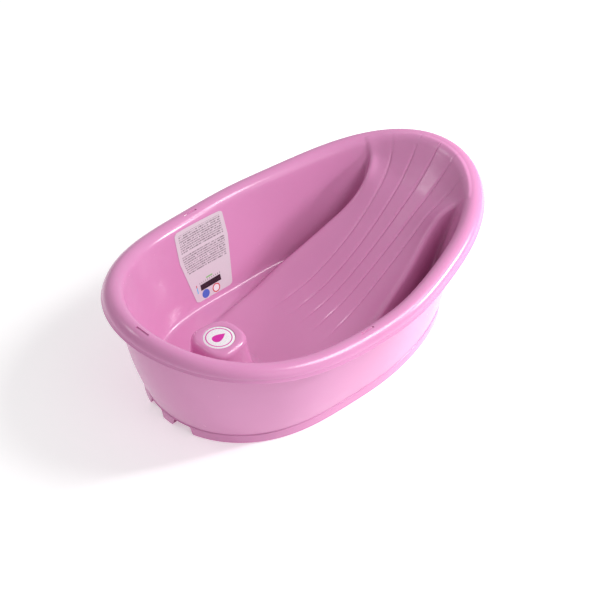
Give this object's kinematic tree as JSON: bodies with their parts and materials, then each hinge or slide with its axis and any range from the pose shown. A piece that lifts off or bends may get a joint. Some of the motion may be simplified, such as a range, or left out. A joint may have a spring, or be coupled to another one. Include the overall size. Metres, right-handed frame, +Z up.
{
  "type": "baby bathtub",
  "caption": "Oval baby bathtub with a grooved reclining backrest, elbow pockets, a crotch post, a rolled rim and drain arches in the base band.",
  "frame": {"origin": "centre of the bounding box, on the ground under the feet", "axes": "+X towards the head end, +Y towards the side wall with the label, +Z up"},
  "size_m": [0.8116, 0.5084, 0.2438],
  "materials": {
    "basin_plastic": "glossy pink polypropylene",
    "body_plastic": "glossy pink polypropylene",
    "badge_print": "printed disc",
    "label_film": "printed film",
    "strip_film": "black liquid-crystal film",
    "plug_rubber": "soft moulded rubber",
    "seal_rubber": "soft moulded rubber",
    "foot_rubber": "soft moulded rubber"
  },
  "bodies": {
    "tub": {"basin": "basin_plastic", "outer_body": "body_plastic", "badge": "badge_print", "info_label": "label_film", "thermometer_strip": "strip_film", "foot_1": "foot_rubber", "foot_2": "foot_rubber", "foot_3": "foot_rubber", "foot_4": "foot_rubber"},
    "plug": {"drain_plug": "plug_rubber", "plug_seal": "seal_rubber"}
  },
  "joints": [
    {"name": "plug_lift", "type": "slide", "parent": "tub", "child": "plug", "axis": [0, 0, 1], "range_m": [0, 0.26]}
  ]
}
